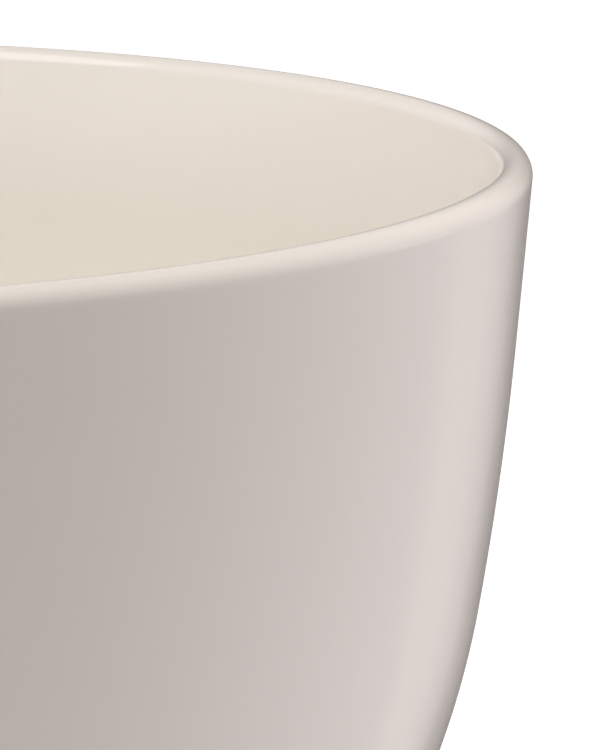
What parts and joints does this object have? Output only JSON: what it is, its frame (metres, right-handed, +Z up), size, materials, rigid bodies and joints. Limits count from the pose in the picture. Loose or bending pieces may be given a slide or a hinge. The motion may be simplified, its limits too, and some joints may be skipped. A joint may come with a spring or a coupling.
{
  "type": "latte bowl",
  "caption": "Deep round ceramic latte bowl with a flared upright wall, rounded lip, foot ring, and separate glaze coats inside, outside and under the base.",
  "frame": {"origin": "centre of the foot ring's flat underside, on the table", "axes": "+Z up along the bowl's axis of revolution; X and Y are free"},
  "size_m": [0.13, 0.13, 0.071],
  "materials": {
    "fired_clay": "bare fired clay, matt and finely grained",
    "cream_glaze": "smooth glossy warm cream glaze",
    "warm_grey_glaze": "smooth glossy off-white glaze with a warm grey cast"
  },
  "bodies": {
    "root": {"clay_body": "fired_clay", "inner_glaze": "cream_glaze", "outer_glaze": "warm_grey_glaze", "base_glaze": "warm_grey_glaze"}
  },
  "joints": []
}
